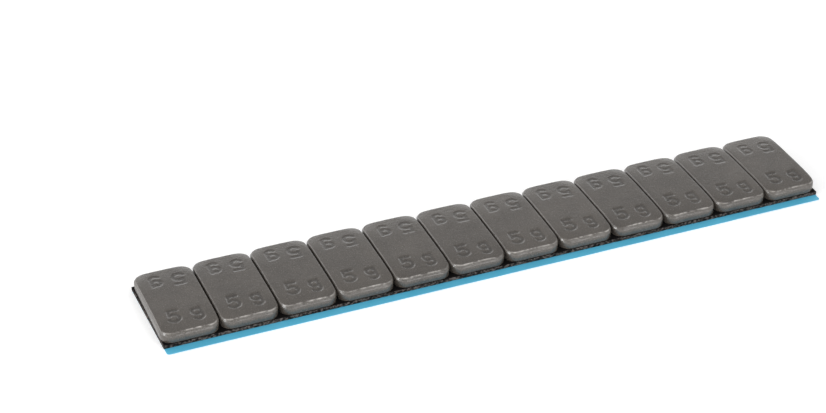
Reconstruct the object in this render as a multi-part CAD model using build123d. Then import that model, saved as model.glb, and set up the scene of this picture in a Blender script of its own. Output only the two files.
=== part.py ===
from build123d import *
from math import sqrt
import os

# Stick-on wheel balance weight: a strip of coated steel segments on one foam tape,
# with a release liner under the tape. Millimetres, +Z up, +X along the strip.
# The liner's peel edge lies on the -Y side, called the front.

# Steel segments
segment_count = 12
segment_length = 12.05       # along the strip
segment_width = 21.7         # across the strip
segment_thickness = 2.59
segment_gap = 0.25           # between the upright sides of two neighbours
corner_radius = 2.4          # upright corners, seen from above
shoulder_run = 6.0           # length of the pressed slope at the front and the back of the top
shoulder_drop = 0.3          # fall of that slope at the end face
corner_run = 3.54            # length of the pressed slope towards each corner, along its diagonal
corner_drop = 0.6            # fall of that slope where the square corner would be
top_edge_break = 0.45        # bevel round the top
bottom_edge_break = 0.5      # bevel round the underside
edge_break_share = 0.35      # most of the side's height that either bevel may take

# Foam tape
tape_thickness = 0.8
tape_front_proud = 0.15      # tape past the front faces of the segments
tape_back_recess = 0.75      # tape short of the back faces of the segments
tape_end_margin = 0.25       # tape past the end segments, where the strip was cut

# Release liner
liner_thickness = 0.1
liner_peel_edge = 1.9        # liner past the tape along the front, for a fingernail
liner_corner_radius = 0.6

# Places worked out from the sizes above, with the segments' centre line at y = 0
pitch = segment_length + segment_gap
steel_half_length = (segment_count * pitch - segment_gap) / 2
tape_half_length = steel_half_length + tape_end_margin
steel_back = segment_width / 2
tape_front = -steel_back - tape_front_proud
tape_back = steel_back - tape_back_recess
liner_front = tape_front - liner_peel_edge
tape_bottom = liner_thickness
steel_bottom = tape_bottom + tape_thickness
side_height = segment_thickness - shoulder_drop
# The strip's own origin is the middle of its footprint
centre_shift = -(liner_front + steel_back) / 2


def crowned_bar(half, run, drop, length):
    """A bar along X that is flat on top, with a tangent slope down to each upright face at y = +-half."""
    flat = half - run
    edge_height = segment_thickness - drop
    slope_radius = (run**2 + drop**2) / (2 * drop)
    with BuildSketch(Plane.YZ) as section:
        with BuildLine():
            Line((-flat, segment_thickness), (flat, segment_thickness))
            RadiusArc((flat, segment_thickness), (half, edge_height), slope_radius)
            Polyline((half, edge_height), (half, 0), (-half, 0), (-half, edge_height))
            RadiusArc((-half, edge_height), (-flat, segment_thickness), slope_radius)
        make_face()
    return extrude(section.sketch, length / 2, both=True)


def weight_segment():
    """One pressed steel segment, standing on z = 0 and centred on the Z axis."""
    most = edge_break_share * side_height
    outline = RectangleRounded(segment_length, segment_width, corner_radius)
    across = crowned_bar(segment_width / 2, shoulder_run, shoulder_drop, segment_length)
    blank = across & extrude(outline, segment_thickness)
    blank = chamfer(blank.faces().sort_by(Axis.Z)[0].edges(), min(bottom_edge_break, most))
    sides = [face for face in blank.faces() if abs(face.normal_at().Z) < 0.01]
    rim = [edge for face in sides for edge in face.edges() if edge.center().Z > side_height - 0.01]
    blank = chamfer(rim, min(top_edge_break, most))
    square_corner = (segment_length + segment_width) / (2 * sqrt(2))
    diagonal = crowned_bar(square_corner, corner_run, corner_drop, 2 * segment_width)
    pressed = blank & (Rot(0, 0, 45) * diagonal) & (Rot(0, 0, -45) * diagonal)
    return pressed.solids()[0]


def foam_tape():
    """One continuous strip of double-sided foam tape, cut square at both ends."""
    width = tape_back - tape_front
    strip = Box(2 * tape_half_length, width, tape_thickness, align=(Align.CENTER, Align.MIN, Align.MIN))
    return Pos(0, tape_front, tape_bottom) * strip


def release_liner():
    """Film under the tape, wider than it along the front so that it can be peeled off."""
    width = tape_back - liner_front
    outline = RectangleRounded(2 * tape_half_length, width, liner_corner_radius)
    return Pos(0, liner_front + width / 2, 0) * extrude(outline, liner_thickness)


def save(solid, node):
    """Write one piece as its own file, moved to the strip's own origin."""
    export_step(Pos(0, centre_shift, 0) * solid, os.path.join("parts", node + ".step"))


os.makedirs("parts", exist_ok=True)
segment = weight_segment()
for place in range(segment_count):
    middle = -steel_half_length + segment_length / 2 + place * pitch
    save(Pos(middle, 0, steel_bottom) * segment, f"weight_segment_{place + 1:02d}")
save(foam_tape(), "foam_tape")
save(release_liner(), "release_liner")
print("steel per segment, mm3:", round(segment.volume, 1))
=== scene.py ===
import math
import random

import bmesh
import bpy
import numpy as np
from bpy.props import FloatProperty, FloatVectorProperty, PointerProperty
from mathutils import Matrix, Vector, noise


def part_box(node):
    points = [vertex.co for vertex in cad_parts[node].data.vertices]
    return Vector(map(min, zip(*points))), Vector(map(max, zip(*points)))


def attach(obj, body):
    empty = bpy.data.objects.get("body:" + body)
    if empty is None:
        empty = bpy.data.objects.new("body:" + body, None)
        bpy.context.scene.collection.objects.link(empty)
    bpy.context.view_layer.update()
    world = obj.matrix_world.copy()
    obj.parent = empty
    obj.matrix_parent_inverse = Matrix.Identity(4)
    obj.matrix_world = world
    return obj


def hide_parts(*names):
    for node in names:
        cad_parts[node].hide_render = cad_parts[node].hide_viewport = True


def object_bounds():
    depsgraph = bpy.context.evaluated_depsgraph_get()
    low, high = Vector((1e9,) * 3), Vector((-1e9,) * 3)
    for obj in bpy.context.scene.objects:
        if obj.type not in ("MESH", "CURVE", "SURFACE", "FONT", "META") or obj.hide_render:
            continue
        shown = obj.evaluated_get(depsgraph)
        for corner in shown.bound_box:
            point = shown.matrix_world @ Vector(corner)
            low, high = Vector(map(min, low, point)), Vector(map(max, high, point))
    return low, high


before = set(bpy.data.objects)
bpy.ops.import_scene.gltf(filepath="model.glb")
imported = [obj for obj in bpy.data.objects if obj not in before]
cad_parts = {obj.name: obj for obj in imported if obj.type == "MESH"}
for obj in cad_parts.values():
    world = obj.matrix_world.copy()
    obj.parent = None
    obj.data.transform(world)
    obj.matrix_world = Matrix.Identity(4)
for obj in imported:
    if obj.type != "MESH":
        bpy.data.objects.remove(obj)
CAD_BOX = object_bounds()

bl_info = {
    "name": "Stick-on Wheel Balance Weight",
    "version": (1, 0, 0),
    "blender": (4, 5, 0),
    "location": "View3D > Sidebar > Balance Weight",
    "description": "A strip of coated steel segments on foam tape, with a release liner under it",
    "category": "Object",
}

# Metres, +Z up, +X along the strip, with the peel edge of the liner on the -Y side, called the front.
MM = 0.001
BODY = "root"
SEGMENT_NODES = sorted(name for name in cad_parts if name.startswith("weight_segment_"))

# Grid of a segment's mesh: lines across the rim, steps from there to the centres of the corners,
# over the marks and between them, and rings down to the foot.
RIM_STEPS = 12
CORNER_STEP = 0.12 * MM
MARK_STEP = 0.1 * MM
PLAIN_STEP = 0.4 * MM
FOOT_RINGS = 9
MARK_REACH = 0.6  # from the middle of a numeral to where the fine steps end, in its heights
SLIP_SEED = 5  # of the stamp's slips

# Grid and form of the tape's mesh.
TAPE_STEP = 0.16 * MM
TAPE_RISE_STEP = 0.1 * MM
TAPE_INNER_LINE = 1.0 * MM  # from each long edge to the last grid line beside it
CUT_BAND = 0.5 * MM  # along each long edge, the part that wanders with the cut
CUT_WAVE_LENGTH = 4.0 * MM
CELL_STEEPNESS = 1.6  # of the walls of the open cells

# Grid and form of the film's mesh.
FILM_STEP = 0.25 * MM
FILM_CORNER_STEP = 0.2 * MM
FREE_FILM_STEP = 0.3 * MM
COVERED_FILM_STEP = 1.2 * MM
FILM_RIM = 0.03 * MM
FILM_RIM_STEPS = 2
FILM_WAVE_LENGTH = 11.0 * MM
FILM_WAVE_ROW = 0.3  # row of the noise that the waves are read from
FREE_CREASE_LOSS = 0.6  # part of a crease that is gone at the free edge
PALE_RIM = 2.5  # width of the pale cut edge, in thicknesses of the film

# Metres: a point nearer to an edge than the first is on it, and the second is the least divisor.
TOUCHING = 1e-7
TINY = 1e-9

# Finishes.
BLACK = (0.0, 0.0, 0.0)
SPECKLE_FINENESS = 2.2  # how much finer the speckle is than the bumps
SPECKLE_SHARE = 0.6  # of the coat's mottle, where the rest is slow patches
ROUGHNESS_SPREAD = 0.06  # of the coat, to either side
CELL_GRAIN = 1.5  # width of the foam's bumps for that of its cells
CELL_SHADE = 0.5  # colour between the cells for that of the foam

# Colour sockets of a Mix node go by number, because its other kinds of sockets have the same names.
MIX_PLAIN = 6
MIX_CHANGED = 7
MIX_RESULT = 2

# Strokes of the stamped mark, in units of the numeral's height: lines from point to point,
# and arcs by centre, radius, first and last angle in degrees.
FIVE_STROKES = (
    ("line", (0.13, 0.91), (0.53, 0.91)),
    ("line", (0.13, 0.91), (0.10, 0.53)),
    ("arc", (0.28, 0.35), 0.26, -150.0, 135.0),
)
GRAM_STROKES = (
    ("arc", (0.30, 0.49), 0.21, 0.0, 360.0),
    ("line", (0.51, 0.72), (0.51, 0.13)),
    ("arc", (0.30, 0.13), 0.21, -145.0, 0.0),
)
FIVE_WIDTH = 0.62
GRAM_WIDTH = 0.60
LETTER_SPACE = 0.50

# Round soft lamps: name, turn from the front towards the left end and height in degrees,
# width in millimetres, power in watts.
LAMPS = (
    ("left_lamp", 73.0, 23.0, 130.0, 1.35),
    ("front_lamp", -34.0, 54.0, 300.0, 0.7),
    ("low_lamp", -20.0, 14.0, 400.0, 0.85),
)


def length(name, description, millimetres):
    """A size in the panel, written here in millimetres."""
    return FloatProperty(
        name=name, description=description, default=millimetres * MM, min=0.0, unit="LENGTH", precision=5
    )


def offset(name, description, millimetres):
    """A place in the panel, to either side of the origin, written here in millimetres."""
    return FloatProperty(name=name, description=description, default=millimetres * MM, unit="LENGTH")


def share(name, description, value, most=1.0):
    """A plain number in the panel, from 0 to most."""
    return FloatProperty(name=name, description=description, default=value, min=0.0, max=most)


def turn(name, description, degrees):
    """An angle in the panel, written here in degrees."""
    return FloatProperty(name=name, description=description, default=math.radians(degrees), subtype="ANGLE")


def colour(name, description, value):
    """A linear colour in the panel."""
    return FloatVectorProperty(
        name=name, description=description, default=value, size=3, min=0.0, max=1.0, subtype="COLOR"
    )


class SegmentSettings(bpy.types.PropertyGroup):
    """Sizes and finish of the coated steel segments."""

    corner_radius: length("Corner radius", "Upright corners, seen from above", 2.4)
    shoulder_run: length("Shoulder run", "Length of the pressed slope at each end of the top", 8.0)
    shoulder_drop: length("Shoulder drop", "Fall of that slope at the end face", 0.37)
    side_run: length("Side run", "Length of the roll-over along the sheared sides", 1.3)
    side_drop: length("Side drop", "Fall of that roll-over at the side", 0.05)
    corner_reach: length("Corner reach", "How far along both sides the top rolls off to a corner", 5.0)
    corner_drop: length("Corner drop", "Fall of that roll at the square corner", 0.36)
    end_rim: length("End rim", "Width of the broken top edge at the front and the back", 0.45)
    side_rim: length("Side rim", "The same along the sheared sides", 0.25)
    rim_steepness: share("Rim steepness", "Height of the broken top edge for its width", 1.35, 3.0)
    rim_fullness: share("Rim fullness", "Form of the top edge: 1 is a flat bevel, 2 is round", 1.08, 2.0)
    # The rubbed line along the top edge is also a painted highlight.
    rubbed_highlight_width: length("Rub and highlight width", "Half width of the rubbed line along the top edge", 0.18)
    foot_rise: length("Foot rise", "Height over which the wall curves under", 0.9)
    end_foot: length("End foot", "How far the wall curves under at the front and the back", 0.16)
    side_foot: length("Side foot", "The same along the sheared sides", 0.08)
    mark_height: length("Mark height", "Height of the numeral", 4.15)
    mark_offset: length("Mark offset", "From the middle of the segment to the middle of each numeral", 5.75)
    mark_stroke: length("Mark stroke", "Width of the stamped strokes at half their depth", 0.82)
    mark_slope: length("Mark slope", "Width of the soft flank of a stroke", 0.46)
    mark_depth: length("Mark depth", "How deep the marks are stamped", 0.18)
    back_mark_share: share("Back mark share", "Depth of the back mark for that of the front one", 0.46)
    # Painted shade: the coat is drawn darker in the recessed marks.
    mark_painted_shade: share("Mark painted shade", "How much darker the coat is in the marks", 0.28)
    mark_slip: length("Mark slip", "How far the stamp was off its place on a segment", 0.35)
    coat: colour("Coat", "Grey of the coat", (0.0775, 0.0675, 0.058))
    # The light grey of the worn coat is also a painted highlight along the rim.
    worn_coat_and_highlight: colour("Worn coat and highlight", "Grey of the coat where it is rubbed", (0.48, 0.455, 0.425))
    gloss_roughness: share("Roughness", "Roughness of the coat", 0.25)
    grain_size: length("Grain size", "Width of the coat's grain", 0.42)


class TapeSettings(bpy.types.PropertyGroup):
    """Sizes and finish of the foam tape."""

    cut_wave: length("Cut wave", "How far the cut edges wander", 0.05)
    cell_size: length("Cell size", "Width of the foam's cells", 0.26)
    cell_depth: length("Cell depth", "Depth of the open cells on the cut edges", 0.06)
    edge_softness: length("Edge softness", "Rounding of the long edges", 0.08)
    foam: colour("Foam", "Black of the foam", (0.006, 0.0055, 0.0055))
    # The grey of the cut edges is partly the cut foam's own colour and partly a painted sheen on the lit
    # faces.
    rubbed_foam_and_sheen: colour("Rubbed foam and sheen", "Grey of the foam on its cut edges", (0.128, 0.11, 0.102))


class LinerSettings(bpy.types.PropertyGroup):
    """Sizes and finish of the release liner."""

    corner_radius: length("Corner radius", "Corners of the film, seen from above", 0.6)
    end_inset: length("End inset", "How far the film was cut short at each end", 0.1)
    end_taper: length("End taper", "How far the cut of each end falls back towards the front", 0.35)
    crease_depth: length("Crease depth", "Depth of the crease under each gap between segments", 0.04)
    crease_width: length("Crease width", "Half width of that crease", 0.4)
    edge_lift: length("Edge lift", "How far the free edge waves up", 0.08)
    film: colour("Film", "Blue of the film", (0.096, 0.495, 0.73))
    pale_film: colour("Pale film", "Blue of the film where it is stressed", (0.16, 0.60, 0.83))


class StageSettings(bpy.types.PropertyGroup):
    """Floor, light and camera."""

    floor: colour("Floor", "Colour of the floor", (0.88, 0.88, 0.88))
    floor_glow: share("Floor glow", "What lifts the floor to white in the picture", 0.3)
    horizon: share("Horizon", "Light from the walls of the studio", 2.0, 3.0)
    zenith: share("Zenith", "Light from the ceiling of the studio", 0.575)
    wall_top: turn("Wall top", "Height up to which the walls keep their light", 8.0)
    ceiling: turn("Ceiling", "Height from which the ceiling is even", 36.0)
    left_bias: share("Left bias", "How much brighter the left wall is than the front one", 0.35)
    lamp_distance: length("Lamp distance", "From the strip to each lamp", 800.0)
    lamp_level: share("Lamp level", "Brightness of all the lamps together", 1.0, 4.0)
    azimuth: turn("Azimuth", "Turn of the camera from the front towards the left end", 23.24)
    elevation: turn("Elevation", "Height of the camera", 33.95)
    roll: turn("Roll", "Tilt of the camera", 0.91)
    distance: length("Distance", "From the camera to the point it looks at", 443.8)
    aim_x: offset("Aim along", "Point looked at, along the strip", -9.47)
    aim_y: offset("Aim across", "Point looked at, across the strip", 18.175)
    lens: FloatProperty(name="Lens", description="Focal length of the camera", default=90.24, unit="CAMERA")


class StripSettings(bpy.types.PropertyGroup):
    """All settings of the strip."""

    segments: PointerProperty(type=SegmentSettings)
    tape: PointerProperty(type=TapeSettings)
    liner: PointerProperty(type=LinerSettings)
    stage: PointerProperty(type=StageSettings)


def add_node(tree, kind, inputs=None, **settings):
    """One shader node, with its settings and the plain values of its inputs."""
    made = tree.nodes.new(kind)
    for name, value in settings.items():
        setattr(made, name, value)
    for name, value in (inputs or {}).items():
        made.inputs[name].default_value = value
    return made


def calculate(tree, operation, first, second):
    """A Math node on two sockets or plain numbers, and its result."""
    made = add_node(tree, "ShaderNodeMath", operation=operation)
    for place, value in enumerate((first, second)):
        if isinstance(value, bpy.types.NodeSocket):
            tree.links.new(value, made.inputs[place])
        else:
            made.inputs[place].default_value = value
    return made.outputs[0]


def blend_colours(tree, mask, plain, changed):
    """A mix of two colours by a mask. Each colour is a socket or three numbers."""
    made = add_node(tree, "ShaderNodeMix", data_type="RGBA")
    tree.links.new(mask, made.inputs["Factor"])
    for place, value in ((MIX_PLAIN, plain), (MIX_CHANGED, changed)):
        if isinstance(value, bpy.types.NodeSocket):
            tree.links.new(value, made.inputs[place])
        else:
            made.inputs[place].default_value = (*value, 1.0)
    return made.outputs[MIX_RESULT]


def remap(tree, value, low, high):
    """A value from 0 to 1, spread from low to high."""
    made = add_node(tree, "ShaderNodeMapRange", {"To Min": low, "To Max": high})
    tree.links.new(value, made.inputs["Value"])
    return made.outputs["Result"]


def start_group(name, inputs, outputs):
    """An empty shader node group with named sockets, and its two end nodes."""
    tree = bpy.data.node_groups.new(name, "ShaderNodeTree")
    for socket, kind, default in inputs:
        made = tree.interface.new_socket(socket, in_out="INPUT", socket_type=kind)
        if default is not None:
            made.default_value = default
    for socket in outputs:
        tree.interface.new_socket(socket, in_out="OUTPUT", socket_type="NodeSocketFloat")
    return tree, add_node(tree, "NodeGroupInput"), add_node(tree, "NodeGroupOutput")


def surface_grain_group():
    """Fine bumps and speckle, and slow patches, at sizes that each material gives."""
    name = "Surface grain"
    if name in bpy.data.node_groups:
        return bpy.data.node_groups[name]
    tree, given, result = start_group(
        name,
        (
            ("Coordinates", "NodeSocketVector", None),
            ("Grain size", "NodeSocketFloat", 0.3 * MM),
            ("Patch size", "NodeSocketFloat", 6.0 * MM),
        ),
        ("Height", "Speckle", "Patches"),
    )
    fine_scale = calculate(tree, "DIVIDE", 1.0, given.outputs["Grain size"])
    slow_scale = calculate(tree, "DIVIDE", 1.0, given.outputs["Patch size"])
    speck_scale = calculate(tree, "MULTIPLY", fine_scale, SPECKLE_FINENESS)
    textures = (
        ("Height", fine_scale, {"Detail": 2.0, "Roughness": 0.55}),
        ("Speckle", speck_scale, {"Detail": 1.0, "Roughness": 0.5}),
        ("Patches", slow_scale, {"Detail": 3.0, "Roughness": 0.6}),
    )
    for output, scale, values in textures:
        texture = add_node(tree, "ShaderNodeTexNoise", values)
        tree.links.new(given.outputs["Coordinates"], texture.inputs["Vector"])
        tree.links.new(scale, texture.inputs["Scale"])
        tree.links.new(texture.outputs["Fac"], result.inputs[output])
    return tree


def rubbed_edge_group():
    """A broken mask along the edges that a mesh marks in its own attribute."""
    name = "Rubbed edge"
    if name in bpy.data.node_groups:
        return bpy.data.node_groups[name]
    tree, given, result = start_group(
        name,
        (
            ("Coordinates", "NodeSocketVector", None),
            ("Edge", "NodeSocketFloat", 0.0),
            ("Break size", "NodeSocketFloat", 1.0 * MM),
            ("Amount", "NodeSocketFloat", 0.5),
        ),
        ("Mask",),
    )
    scale = calculate(tree, "DIVIDE", 1.0, given.outputs["Break size"])
    breaks = add_node(tree, "ShaderNodeTexNoise", {"Detail": 4.0, "Roughness": 0.65})
    tree.links.new(given.outputs["Coordinates"], breaks.inputs["Vector"])
    tree.links.new(scale, breaks.inputs["Scale"])
    uneven = remap(tree, breaks.outputs["Fac"], low=-2.1, high=3.0)
    worn = calculate(tree, "MULTIPLY", given.outputs["Edge"], uneven)
    mask = calculate(tree, "MULTIPLY", worn, given.outputs["Amount"])
    mask.node.use_clamp = True
    tree.links.new(mask, result.inputs["Mask"])
    return tree


def use_group(tree, group, coordinates, values):
    """A node group placed in a material, with that material's own values."""
    placed = add_node(tree, "ShaderNodeGroup", node_tree=group)
    tree.links.new(coordinates, placed.inputs["Coordinates"])
    for name, value in values.items():
        placed.inputs[name].default_value = value
    return placed


def start_material(name):
    """A new material: its tree, its shader and the piece's own coordinates."""
    made = bpy.data.materials.new(name)
    made.use_nodes = True
    tree = made.node_tree
    coordinates = add_node(tree, "ShaderNodeTexCoord").outputs["Object"]
    return made, tree, tree.nodes["Principled BSDF"], coordinates


def link_bump(tree, shader, height, depth):
    """Fine relief on a shader's normal."""
    bump = add_node(tree, "ShaderNodeBump", {"Strength": 1.0, "Distance": depth})
    tree.links.new(height, bump.inputs["Height"])
    tree.links.new(bump.outputs["Normal"], shader.inputs["Normal"])


def link_rubbed_edge(tree, coordinates, break_size, amount):
    """The rubbed edge group on the mesh's own edge attribute, and its mask."""
    edge = add_node(tree, "ShaderNodeAttribute", attribute_name="edge")
    placed = use_group(
        tree, rubbed_edge_group(), coordinates, {"Break size": break_size, "Amount": amount}
    )
    tree.links.new(edge.outputs["Fac"], placed.inputs["Edge"])
    return placed.outputs["Mask"]


def coated_steel_material(settings):
    """Dark grey coat with a fine grain, painted shade in the marks and a painted highlight with rubbed coat
    along the rim.
    """
    material, tree, shader, coordinates = start_material("Coated steel")
    grain = use_group(
        tree,
        surface_grain_group(),
        coordinates,
        {"Grain size": settings.grain_size, "Patch size": 7.0 * MM},
    )
    speckled = calculate(tree, "MULTIPLY", grain.outputs["Speckle"], SPECKLE_SHARE)
    patched = calculate(tree, "MULTIPLY", grain.outputs["Patches"], 1.0 - SPECKLE_SHARE)
    mottle = calculate(tree, "ADD", speckled, patched)
    # The mottle is a half on average, so twice the coat at its light end gives the coat on average.
    light = tuple(2.0 * level for level in settings.coat)
    coat = blend_colours(tree, mottle, BLACK, light)
    # Painted shade in the recessed marks, darker as far as each mark is pressed in.
    marked = add_node(tree, "ShaderNodeAttribute", attribute_name="mark").outputs["Fac"]
    painted_shade = calculate(tree, "MULTIPLY", marked, settings.mark_painted_shade)
    coat = blend_colours(tree, painted_shade, coat, BLACK)
    # Painted highlight along the rim at the front and back, together with rubbed coat.
    rubbed = link_rubbed_edge(tree, coordinates, break_size=1.6 * MM, amount=1.0)
    tree.links.new(blend_colours(tree, rubbed, coat, settings.worn_coat_and_highlight), shader.inputs["Base Color"])
    smoothest = settings.gloss_roughness - ROUGHNESS_SPREAD
    roughest = settings.gloss_roughness + ROUGHNESS_SPREAD
    roughness = remap(tree, grain.outputs["Speckle"], low=smoothest, high=roughest)
    tree.links.new(roughness, shader.inputs["Roughness"])
    shader.inputs["Specular IOR Level"].default_value = 0.85
    link_bump(tree, shader, grain.outputs["Height"], depth=0.065 * MM)
    return material


def black_foam_material(settings):
    """Matt black foam, with open cells and a greyer cut edge, partly its own colour and partly a painted
    sheen.
    """
    material, tree, shader, coordinates = start_material("Black foam")
    grain = use_group(
        tree,
        surface_grain_group(),
        coordinates,
        {"Grain size": CELL_GRAIN * settings.cell_size, "Patch size": 3.0 * MM},
    )
    cells = add_node(
        tree, "ShaderNodeTexVoronoi", {"Scale": 1.0 / settings.cell_size}, feature="SMOOTH_F1"
    )
    tree.links.new(coordinates, cells.inputs["Vector"])
    deep = tuple(CELL_SHADE * level for level in settings.foam)
    skin = blend_colours(tree, cells.outputs["Distance"], settings.foam, deep)
    specks = remap(tree, grain.outputs["Height"], low=-1.5, high=3.0)
    # Grey on the cut faces: partly the cut foam's own colour, partly a painted sheen.
    cut = link_rubbed_edge(tree, coordinates, break_size=0.7 * MM, amount=1.5)
    rubbed = calculate(tree, "MULTIPLY", cut, specks)
    rubbed.node.use_clamp = True
    tree.links.new(blend_colours(tree, rubbed, skin, settings.rubbed_foam_and_sheen), shader.inputs["Base Color"])
    roughness = remap(tree, grain.outputs["Patches"], low=0.75, high=0.95)
    tree.links.new(roughness, shader.inputs["Roughness"])
    shader.inputs["Specular IOR Level"].default_value = 0.1
    height = calculate(tree, "SUBTRACT", grain.outputs["Height"], cells.outputs["Distance"])
    link_bump(tree, shader, height, depth=0.05 * MM)
    return material


def blue_film_material(settings):
    """Satin blue film, slightly uneven in tone, paler along its cut edge."""
    material, tree, shader, coordinates = start_material("Blue film")
    grain = use_group(
        tree, surface_grain_group(), coordinates, {"Grain size": 0.6 * MM, "Patch size": 9.0 * MM}
    )
    uneven = remap(tree, grain.outputs["Patches"], low=-0.2, high=0.6)
    film = blend_colours(tree, uneven, settings.film, settings.pale_film)
    rubbed = link_rubbed_edge(tree, coordinates, break_size=2.0 * MM, amount=0.5)
    tree.links.new(blend_colours(tree, rubbed, film, settings.pale_film), shader.inputs["Base Color"])
    roughness = remap(tree, grain.outputs["Patches"], low=0.3, high=0.45)
    tree.links.new(roughness, shader.inputs["Roughness"])
    link_bump(tree, shader, grain.outputs["Height"], depth=0.006 * MM)
    return material


def floor_material(settings):
    """Pale floor that shows white to the camera and in reflections, and keeps the shadow."""
    made = bpy.data.materials.new("Pale floor")
    made.use_nodes = True
    tree = made.node_tree
    shader = tree.nodes["Principled BSDF"]
    shader.inputs["Base Color"].default_value = (*settings.floor, 1.0)
    shader.inputs["Roughness"].default_value = 0.9
    shader.inputs["Specular IOR Level"].default_value = 0.0
    path = add_node(tree, "ShaderNodeLightPath")
    seen = calculate(tree, "MAXIMUM", path.outputs["Is Camera Ray"], path.outputs["Is Glossy Ray"])
    seen = calculate(tree, "MAXIMUM", seen, path.outputs["Is Transmission Ray"])
    glow = add_node(tree, "ShaderNodeEmission")
    tree.links.new(calculate(tree, "MULTIPLY", seen, settings.floor_glow), glow.inputs["Strength"])
    both = add_node(tree, "ShaderNodeAddShader")
    tree.links.new(shader.outputs["BSDF"], both.inputs[0])
    tree.links.new(glow.outputs["Emission"], both.inputs[1])
    tree.links.new(both.outputs["Shader"], tree.nodes["Material Output"].inputs["Surface"])
    return made


def spaced(start, end, step):
    """Even places from start to end, about a step apart."""
    return np.linspace(start, end, max(1, math.ceil(abs(end - start) / step)) + 1)


def edge_lines(rim, rim_steps, corner, step):
    """Distances of grid lines from the outline: across the rim, then on to the corner's centre."""
    across = rim * (1.0 - np.cos(np.linspace(0.0, math.pi, rim_steps + 1))) / 2
    return np.concatenate([across[:-1], spaced(rim, corner, step)])


def lines_across(half, edges, middle):
    """Grid lines from -half to half: those beside each edge, and the middle ones between them."""
    lines = np.concatenate([edges - half, middle, half - edges])
    # Rounded to a nanometre, so that lines in the same place count once.
    return np.unique(lines.round(9))


def rounded_grid(x_lines, y_lines, half_x, half_y, corner):
    """Grid points with each corner block drawn round, and every point's distance from the outline."""
    x, y = np.meshgrid(x_lines, y_lines, indexing="ij")
    across = (np.abs(x) - (half_x - corner)) / corner
    along = (np.abs(y) - (half_y - corner)) / corner
    in_corner = (across > TOUCHING / corner) & (along > TOUCHING / corner)
    reach = np.where(in_corner, np.maximum(across, along), 1.0)
    lean = np.where(in_corner, np.minimum(across, along) / reach, 0.0) * math.pi / 4
    angle = np.where(across >= along, lean, math.pi / 2 - lean)
    round_x = np.copysign(half_x - corner + corner * reach * np.cos(angle), x)
    round_y = np.copysign(half_y - corner + corner * reach * np.sin(angle), y)
    inward = np.where(
        in_corner, corner * (1.0 - reach), np.minimum(half_x - np.abs(x), half_y - np.abs(y))
    )
    return np.where(in_corner, round_x, x), np.where(in_corner, round_y, y), np.maximum(inward, 0.0)


def narrow_rim(x, y, inward, half_x, half_y, corner, settings):
    """Draw a grid out towards the sides, where the rim is narrower.

    Gives its points, their distances from the outline, the rim's width and how far it faces an end.
    """
    out_x = np.maximum(np.abs(x) - (half_x - corner), 0.0)
    out_y = np.maximum(np.abs(y) - (half_y - corner), 0.0)
    out = np.maximum(np.hypot(out_x, out_y), TINY)
    to_end = (out_y / out) ** 2
    wide = settings.end_rim
    rim = settings.side_rim + (wide - settings.side_rim) * to_end
    beyond = np.maximum(inward - wide, 0.0) * (corner - rim) / (corner - wide)
    narrowed = np.where(inward < corner, np.minimum(inward, wide) * rim / wide + beyond, inward)
    shift = inward - narrowed
    x = x + np.copysign(shift * out_x / out, x)
    y = y + np.copysign(shift * out_y / out, y)
    return x, y, narrowed, rim, to_end


def grid_faces(columns, rows):
    """Quads of a grid whose points run along y first, seen from above."""
    index = np.arange(columns * rows).reshape(columns, rows)
    quads = np.stack([index[:-1, :-1], index[1:, :-1], index[1:, 1:], index[:-1, 1:]], axis=-1)
    return quads.reshape(-1, 4).tolist()


def grid_border(columns, rows):
    """Border points of such a grid, in order round it, seen from above."""
    index = np.arange(columns * rows).reshape(columns, rows)
    return np.concatenate([index[:-1, 0], index[-1, :-1], index[:0:-1, -1], index[0, :0:-1]])


def outward(x, y, half_x, half_y, corner):
    """Unit directions out of a rounded outline at its own points."""
    dx = np.sign(x) * np.maximum(np.abs(x) - (half_x - corner), 0.0)
    dy = np.sign(y) * np.maximum(np.abs(y) - (half_y - corner), 0.0)
    on_corner = (dx != 0.0) & (dy != 0.0)
    dx = np.where(~on_corner & (np.abs(x) < half_x - TOUCHING), 0.0, dx)
    dy = np.where(~on_corner & (np.abs(y) < half_y - TOUCHING), 0.0, dy)
    size = np.hypot(dx, dy)
    return dx / size, dy / size


def loop_faces(first, second):
    """Quads between two loops of as many points, the second below the first."""
    return np.stack([first, second, np.roll(second, -1), np.roll(first, -1)], axis=-1).tolist()


def add_object(name, data):
    """A new object in the scene."""
    made = bpy.data.objects.new(name, data)
    bpy.context.scene.collection.objects.link(made)
    return made


def make_piece(name, points, faces, values, material, sharp_angle):
    """A mesh piece with its own named point values and material, riding on the strip's body."""
    mesh = bpy.data.meshes.new(name)
    mesh.from_pydata(points.tolist(), [], faces)
    for value_name, levels in values.items():
        mesh.attributes.new(value_name, "FLOAT", "POINT").data.foreach_set("value", levels)
    shape = bmesh.new()
    shape.from_mesh(mesh)
    bmesh.ops.recalc_face_normals(shape, faces=shape.faces)
    shape.to_mesh(mesh)
    shape.free()
    mesh.polygons.foreach_set("use_smooth", [True] * len(mesh.polygons))
    mesh.set_sharp_from_angle(angle=sharp_angle)
    mesh.materials.append(material)
    piece = add_object(name, mesh)
    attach(piece, BODY)
    return piece


def line_distance(x, y, start, end):
    """Distance of points from a straight stroke's middle."""
    run_x = end[0] - start[0]
    run_y = end[1] - start[1]
    along = ((x - start[0]) * run_x + (y - start[1]) * run_y) / (run_x**2 + run_y**2)
    along = np.clip(along, 0.0, 1.0)
    return np.hypot(x - start[0] - along * run_x, y - start[1] - along * run_y)


def arc_distance(x, y, centre, radius, first, last):
    """Distance of points from a round stroke's middle, drawn from the first angle to the last."""
    middle = math.radians((first + last) / 2)
    half = math.radians((last - first) / 2)
    angle = np.arctan2(y - centre[1], x - centre[0]) - middle
    angle = np.clip((angle + math.pi) % (2 * math.pi) - math.pi, -half, half) + middle
    return np.hypot(x - centre[0] - radius * np.cos(angle), y - centre[1] - radius * np.sin(angle))


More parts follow.
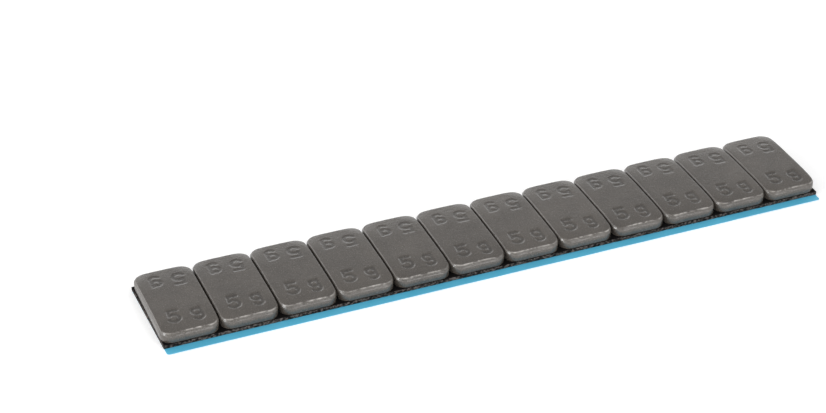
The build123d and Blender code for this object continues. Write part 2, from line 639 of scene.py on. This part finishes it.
def mark_distance(x, y):
    """Distance of points from the middle of the mark's strokes, in units of the numeral's height."""
    # The strokes are drawn from the lower left corner of the mark, and x and y start at its middle.
    width = FIVE_WIDTH + LETTER_SPACE + GRAM_WIDTH
    left = x + width / 2
    up = y + 0.5
    nearest = np.full(x.shape, np.inf)
    for strokes, start in ((FIVE_STROKES, 0.0), (GRAM_STROKES, FIVE_WIDTH + LETTER_SPACE)):
        for kind, *places in strokes:
            measure = line_distance if kind == "line" else arc_distance
            nearest = np.minimum(nearest, measure(left - start, up, *places))
    return nearest


def mark_press(x, y, settings):
    """How far the two marks are pressed in, from 0 to 1. The back one is turned to be read from behind."""
    press = np.zeros(x.shape)
    for sense in (1.0, -1.0):
        unit_x = sense * x / settings.mark_height
        unit_y = (sense * y + settings.mark_offset) / settings.mark_height
        beyond = mark_distance(unit_x, unit_y) * settings.mark_height - settings.mark_stroke / 2
        ramp = np.clip(0.5 - beyond / settings.mark_slope, 0.0, 1.0)
        press = np.maximum(press, ramp * ramp * (3.0 - 2.0 * ramp))
    return press


def fall(distance, run, drop):
    """How far a surface falls at a distance from its edge: by drop at the edge, by nothing a run away."""
    return drop * np.maximum(1.0 - distance / run, 0.0) ** 2


def segment_lines(half_x, half_y, settings):
    """Grid lines of a segment's top along both axes, close together at the rim and over the marks."""
    corner = settings.corner_radius
    edges = edge_lines(settings.end_rim, RIM_STEPS, corner, CORNER_STEP)
    x_middle = spaced(corner - half_x, half_x - corner, MARK_STEP)
    fine_end = settings.mark_offset - MARK_REACH * settings.mark_height
    y_middle = np.concatenate(
        [
            spaced(corner - half_y, -fine_end, MARK_STEP),
            spaced(-fine_end, fine_end, PLAIN_STEP),
            spaced(fine_end, half_y - corner, MARK_STEP),
        ]
    )
    return lines_across(half_x, edges, x_middle), lines_across(half_y, edges, y_middle)


def wall_rings(border, half_x, half_y, settings):
    """Rings of points down a segment's wall, from under the border of its top to the foot."""
    out_x, out_y = outward(border[:, 0], border[:, 1], half_x, half_y, settings.corner_radius)
    under = settings.side_foot + (settings.end_foot - settings.side_foot) * out_y**2
    rings = []
    for angle in np.linspace(0.0, math.pi / 2, FOOT_RINGS):
        inset = under * (1.0 - math.cos(angle))
        ring_x = border[:, 0] - inset * out_x
        ring_y = border[:, 1] - inset * out_y
        height = np.full(len(border), settings.foot_rise * (1.0 - math.sin(angle)))
        rings.append(np.stack([ring_x, ring_y, height], axis=-1))
    return rings


def segment_shape(size, slip, settings):
    """Points, faces and point values of one segment, standing on z = 0, with its marks moved by a slip."""
    half_x = size.x / 2
    half_y = size.y / 2
    corner = settings.corner_radius
    x_lines, y_lines = segment_lines(half_x, half_y, settings)
    x, y, inward = rounded_grid(x_lines, y_lines, half_x, half_y, corner)
    x, y, inward, rim, to_end = narrow_rim(x, y, inward, half_x, half_y, corner, settings)

    shoulder = fall(half_y - np.abs(y), settings.shoulder_run, settings.shoulder_drop)
    side = fall(half_x - np.abs(x), settings.side_run, settings.side_drop)
    roll = fall(half_x - np.abs(x) + half_y - np.abs(y), settings.corner_reach, settings.corner_drop)
    across_rim = np.clip(1.0 - inward / rim, 0.0, 1.0)
    fullness = settings.rim_fullness
    broken = settings.rim_steepness * rim * (1.0 - (1.0 - across_rim**fullness) ** (1.0 / fullness))
    pressed = mark_press(x - slip[0], y - slip[1], settings)
    depth = settings.mark_depth * np.where(y < 0.0, 1.0, settings.back_mark_share)
    top = size.z - shoulder - side - roll - broken - depth * pressed
    points = [np.stack([x, y, top], axis=-1).reshape(-1, 3)]
    # Line along the top edge, kept to the front and back, that carries the painted highlight and the rubbed
    # coat.
    rubbed = np.clip(1.0 - np.abs(inward - rim) / settings.rubbed_highlight_width, 0.0, 1.0)
    faces = grid_faces(len(x_lines), len(y_lines))

    loop = grid_border(len(x_lines), len(y_lines))
    count = len(points[0])
    for ring in wall_rings(points[0][loop], half_x, half_y, settings):
        below = np.arange(count, count + len(ring))
        points.append(ring)
        faces += loop_faces(loop, below)
        loop = below
        count += len(ring)
    faces.append(loop[::-1].tolist())
    plain = np.zeros(count - pressed.size)
    values = {"edge": (to_end * rubbed).ravel(), "mark": pressed.ravel()}
    values = {name: np.concatenate([levels, plain]) for name, levels in values.items()}
    return np.concatenate(points), faces, values


def gap_places():
    """Where the gaps between neighbouring segments lie along the strip."""
    boxes = [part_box(node) for node in SEGMENT_NODES]
    return [(before[1].x + after[0].x) / 2 for before, after in zip(boxes, boxes[1:])]


def crease_rise(x, settings):
    """How far the film and the tape over it are pressed up in the crease under each gap."""
    rise = np.zeros(np.shape(x))
    for gap in gap_places():
        rise = rise + np.exp(-(((x - gap) / settings.crease_width) ** 2))
    return settings.crease_depth * rise


def taper_ends(x, y, half_length, settings):
    """Places along the strip, drawn in towards the front, where the cut of each end falls back."""
    share_front = (CAD_BOX[1].y - y) / (CAD_BOX[1].y - CAD_BOX[0].y)
    return x * (1.0 - share_front * settings.end_taper / half_length)


def box_shell(x_lines, y_lines, z_lines):
    """Points and quads of the skin of a box that is divided along these lines."""
    lines = (x_lines, y_lines, z_lines)
    counts = [len(axis) for axis in lines]
    numbers = {}
    faces = []

    def number(place):
        return numbers.setdefault(place, len(numbers))

    for axis in range(3):
        first, second = [other for other in range(3) if other != axis]
        for level in (0, counts[axis] - 1):
            for i in range(counts[first] - 1):
                for j in range(counts[second] - 1):
                    quad = []
                    for step_i, step_j in ((0, 0), (1, 0), (1, 1), (0, 1)):
                        place = [level] * 3
                        place[first] = i + step_i
                        place[second] = j + step_j
                        quad.append(number(tuple(place)))
                    faces.append(quad)
    points = np.array([[lines[axis][place[axis]] for axis in range(3)] for place in numbers])
    return points, faces


def cell_depths(points, size):
    """Depth of the open foam cells at each point, from 0 to 1."""
    depths = []
    for point in points / size:
        nearest, _ = noise.voronoi(Vector(point), distance_metric="DISTANCE")
        depths.append(max(0.0, 1.0 - CELL_STEEPNESS * nearest[0]))
    return np.array(depths)


def wander(points, size):
    """A slow random value from 0 to 1 along the strip."""
    places = [Vector((x / size, y / MM, 0.0)) for x, y, _ in points]
    return np.array([0.5 + 0.5 * noise.noise(place) for place in places])


def tape_shape(low, high, tape, liner):
    """Points, faces and point values of the foam tape, with ragged cut edges."""
    soft = tape.edge_softness
    x_lines = spaced(low.x, high.x, TAPE_STEP)
    beside = np.array([0.0, soft, TAPE_INNER_LINE])
    y_lines = np.concatenate([low.y + beside, high.y - beside[::-1]])
    z_lines = spaced(low.z, high.z, TAPE_RISE_STEP)
    points, faces = box_shell(x_lines, y_lines, z_lines)
    x, y, z = points.T
    depth_front = y - low.y
    depth_back = high.y - y
    near = np.minimum(depth_front, depth_back)
    inwards = np.where(depth_front < depth_back, 1.0, -1.0)
    on_cut = near < TOUCHING
    from_edge = np.minimum(z - low.z, high.z - z)
    lost = np.maximum(soft - from_edge, 0.0)
    rounding = soft - np.sqrt(np.maximum(soft**2 - lost**2, 0.0))
    pits = cell_depths(points, tape.cell_size)
    drift = wander(points, CUT_WAVE_LENGTH)
    cut = np.where(on_cut, rounding + tape.cell_depth * pits, 0.0)
    cut = cut + np.where(near < CUT_BAND, tape.cut_wave * drift, 0.0)
    share_low = (high.z - z) / (high.z - low.z)
    lifted = z + crease_rise(x, liner) * share_low
    moved = np.stack([taper_ends(x, y, high.x, liner), y + inwards * cut, lifted], axis=-1)
    at_end = np.minimum(x - low.x, high.x - x) < TOUCHING
    # The grey of the cut faces, partly a painted sheen, leaves out the open cells.
    edge = np.where(on_cut | at_end, 1.0 - pits, 0.0)
    return moved, faces, {"edge": edge}


def liner_shape(low, high, tape_front, settings):
    """Points, faces and point values of the film, creased under the gaps and waved along its free edge."""
    middle = (low + high) / 2
    half_x = (high.x - low.x) / 2 - settings.end_inset
    half_y = (high.y - low.y) / 2
    corner = settings.corner_radius
    thickness = high.z - low.z
    edges = edge_lines(FILM_RIM, FILM_RIM_STEPS, corner, FILM_CORNER_STEP)
    x_lines = lines_across(half_x, edges, spaced(corner - half_x, half_x - corner, FILM_STEP))
    free_end = tape_front - middle.y
    free = spaced(corner - half_y, free_end, FREE_FILM_STEP)
    covered = spaced(free_end, half_y - corner, COVERED_FILM_STEP)
    y_middle = np.concatenate([free, covered])
    y_lines = lines_across(half_y, edges, y_middle)
    x, y, inward = rounded_grid(x_lines, y_lines, half_x, half_y, corner)
    x = x + middle.x
    y = y + middle.y
    out = np.clip((tape_front - y) / (tape_front - low.y), 0.0, 1.0)
    places = [Vector((place / FILM_WAVE_LENGTH, FILM_WAVE_ROW, 0.0)) for place in x_lines]
    wave = np.clip([0.5 + noise.noise(place) for place in places], 0.0, 1.0)[:, None]
    creases = crease_rise(x, settings) * (1.0 - FREE_CREASE_LOSS * out)
    lift = settings.edge_lift * wave * out**2 + creases
    x = taper_ends(x, y, half_x, settings)
    sheets = [np.stack([x, y, level + lift], axis=-1).reshape(-1, 3) for level in (high.z, low.z)]
    columns, rows = len(x_lines), len(y_lines)
    top_faces = grid_faces(columns, rows)
    count = columns * rows
    bottom_faces = [[count + number for number in quad[::-1]] for quad in top_faces]
    border = grid_border(columns, rows)
    faces = top_faces + bottom_faces + loop_faces(border, border + count)
    rim = np.clip(1.0 - inward / (PALE_RIM * thickness), 0.0, 1.0).ravel()
    return np.concatenate(sheets), faces, {"edge": np.concatenate([rim, rim])}


class BALANCEWEIGHT_OT_steel_segments(bpy.types.Operator):
    """Build the coated steel segments with their stamped marks"""

    bl_idname = "balance_weight.steel_segments"
    bl_label = "Steel Segments"

    def execute(self, context):
        settings = context.scene.balance_weight.segments
        material = coated_steel_material(settings)
        slips = random.Random(SLIP_SEED)
        reach = settings.mark_slip
        for place, node in enumerate(SEGMENT_NODES, start=1):
            low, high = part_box(node)
            seat = np.array([(low.x + high.x) / 2, (low.y + high.y) / 2, low.z])
            slip = (slips.uniform(0.0, reach), slips.uniform(-reach, reach))
            points, faces, values = segment_shape(high - low, slip, settings)
            name = f"steel_segment_{place:02d}"
            piece = make_piece(name, points + seat, faces, values, material, sharp_angle=math.radians(50))
            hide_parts(node)
        return {"FINISHED"}


class BALANCEWEIGHT_OT_foam_tape(bpy.types.Operator):
    """Build the foam tape with its ragged cut edges"""

    bl_idname = "balance_weight.foam_tape"
    bl_label = "Foam Tape"

    def execute(self, context):
        strip = context.scene.balance_weight
        low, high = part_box("foam_tape")
        points, faces, values = tape_shape(low, high, strip.tape, strip.liner)
        material = black_foam_material(strip.tape)
        piece = make_piece(
            "black_foam_tape", points, faces, values, material, sharp_angle=math.radians(60)
        )
        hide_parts("foam_tape")
        return {"FINISHED"}


class BALANCEWEIGHT_OT_release_liner(bpy.types.Operator):
    """Build the blue film under the tape"""

    bl_idname = "balance_weight.release_liner"
    bl_label = "Release Liner"

    def execute(self, context):
        settings = context.scene.balance_weight.liner
        low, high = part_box("release_liner")
        tape_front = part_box("foam_tape")[0].y
        points, faces, values = liner_shape(low, high, tape_front, settings)
        material = blue_film_material(settings)
        piece = make_piece(
            "blue_liner_film", points, faces, values, material, sharp_angle=math.radians(40)
        )
        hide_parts("release_liner")
        return {"FINISHED"}


def make_floor(settings):
    """A wide floor just under the strip."""
    reach = 4.0
    clearance = 0.02 * MM
    mesh = bpy.data.meshes.new("floor")
    corners = [(-reach, -reach, 0.0), (reach, -reach, 0.0), (reach, reach, 0.0), (-reach, reach, 0.0)]
    mesh.from_pydata(corners, [], [(0, 1, 2, 3)])
    mesh.materials.append(floor_material(settings))
    floor = add_object("floor", mesh)
    floor.location.z = CAD_BOX[0].z - clearance


def make_world(settings):
    """A studio with white walls, the left one brighter than the right, and a darker ceiling."""
    world = bpy.data.worlds.new("Studio")
    world.use_nodes = True
    tree = world.node_tree
    direction = add_node(tree, "ShaderNodeTexCoord").outputs["Generated"]
    parts = add_node(tree, "ShaderNodeSeparateXYZ")
    tree.links.new(direction, parts.inputs["Vector"])
    heights = {"From Min": math.sin(settings.wall_top), "From Max": math.sin(settings.ceiling)}
    levels = {"To Min": settings.horizon, "To Max": settings.zenith}
    level = add_node(tree, "ShaderNodeMapRange", heights | levels, interpolation_type="SMOOTHSTEP")
    tree.links.new(parts.outputs["Z"], level.inputs["Value"])
    background = tree.nodes["Background"]
    background.inputs["Color"].default_value = (1.0, 1.0, 1.0, 1.0)
    rightward = calculate(tree, "MULTIPLY", parts.outputs["X"], settings.left_bias)
    bias = calculate(tree, "SUBTRACT", 1.0, rightward)
    strength = calculate(tree, "MULTIPLY", level.outputs["Result"], bias)
    tree.links.new(strength, background.inputs["Strength"])
    bpy.context.scene.world = world


def direction_to(azimuth, elevation):
    """The way to a place that is turned from the front towards the left end, and raised."""
    flat = math.cos(elevation)
    return Vector((-math.sin(azimuth) * flat, -math.cos(azimuth) * flat, math.sin(elevation)))


def make_lamp(name, place, size, watts):
    """One round soft lamp, turned towards the strip."""
    lamp = bpy.data.lights.new(name, "AREA")
    lamp.shape = "DISK"
    lamp.size = size
    lamp.energy = watts
    holder = add_object(name, lamp)
    holder.location = place
    holder.rotation_euler = (-place).to_track_quat("-Z", "Y").to_euler()


def make_lamps(settings):
    """All the lamps, at one distance from the strip."""
    for name, azimuth, elevation, width, watts in LAMPS:
        direction = direction_to(math.radians(azimuth), math.radians(elevation))
        make_lamp(name, direction * settings.lamp_distance, width * MM, watts * settings.lamp_level)


def make_camera(settings):
    """The camera at the photograph's angle."""
    forward = -direction_to(settings.azimuth, settings.elevation)
    right = forward.cross(Vector((0.0, 0.0, 1.0))).normalized()
    up = right.cross(forward)
    tilt = Matrix.Rotation(-settings.roll, 3, forward)
    right = tilt @ right
    up = tilt @ up
    lens = bpy.data.cameras.new("Camera")
    lens.sensor_fit = "HORIZONTAL"
    lens.sensor_width = 36.0
    lens.lens = settings.lens
    lens.clip_start = 0.01
    camera = add_object("camera", lens)
    place = Vector((settings.aim_x, settings.aim_y, 0.0)) - forward * settings.distance
    turned = Matrix((right, up, -forward)).transposed().to_4x4()
    camera.matrix_world = Matrix.Translation(place) @ turned
    bpy.context.scene.camera = camera


class BALANCEWEIGHT_OT_stage(bpy.types.Operator):
    """Set up the floor, the light and the camera"""

    bl_idname = "balance_weight.stage"
    bl_label = "Stage"

    def execute(self, context):
        settings = context.scene.balance_weight.stage
        context.scene.view_settings.view_transform = "Standard"
        make_floor(settings)
        make_world(settings)
        make_lamps(settings)
        make_camera(settings)
        return {"FINISHED"}


class BALANCEWEIGHT_PT_strip(bpy.types.Panel):
    """Settings and steps of the balance weight strip"""

    bl_label = "Balance Weight"
    bl_space_type = "VIEW_3D"
    bl_region_type = "UI"
    bl_category = "Balance Weight"

    def draw(self, context):
        strip = context.scene.balance_weight
        steps = (
            (strip.segments, "balance_weight.steel_segments"),
            (strip.tape, "balance_weight.foam_tape"),
            (strip.liner, "balance_weight.release_liner"),
            (strip.stage, "balance_weight.stage"),
        )
        for settings, operator in steps:
            box = self.layout.box()
            for name in settings.__annotations__:
                box.prop(settings, name)
            box.operator(operator)


CLASSES = (
    SegmentSettings,
    TapeSettings,
    LinerSettings,
    StageSettings,
    StripSettings,
    BALANCEWEIGHT_OT_steel_segments,
    BALANCEWEIGHT_OT_foam_tape,
    BALANCEWEIGHT_OT_release_liner,
    BALANCEWEIGHT_OT_stage,
    BALANCEWEIGHT_PT_strip,
)


def register():
    """Add the classes and the scene's settings."""
    for kind in CLASSES:
        bpy.utils.register_class(kind)
    bpy.types.Scene.balance_weight = PointerProperty(type=StripSettings)


def unregister():
    """Take the settings and the classes away again."""
    del bpy.types.Scene.balance_weight
    for kind in reversed(CLASSES):
        bpy.utils.unregister_class(kind)


def main():
    """Build the strip and its stage."""
    register()
    bpy.ops.balance_weight.steel_segments()
    bpy.ops.balance_weight.foam_tape()
    bpy.ops.balance_weight.release_liner()
    bpy.ops.balance_weight.stage()


if __name__ == "__main__":
    main()
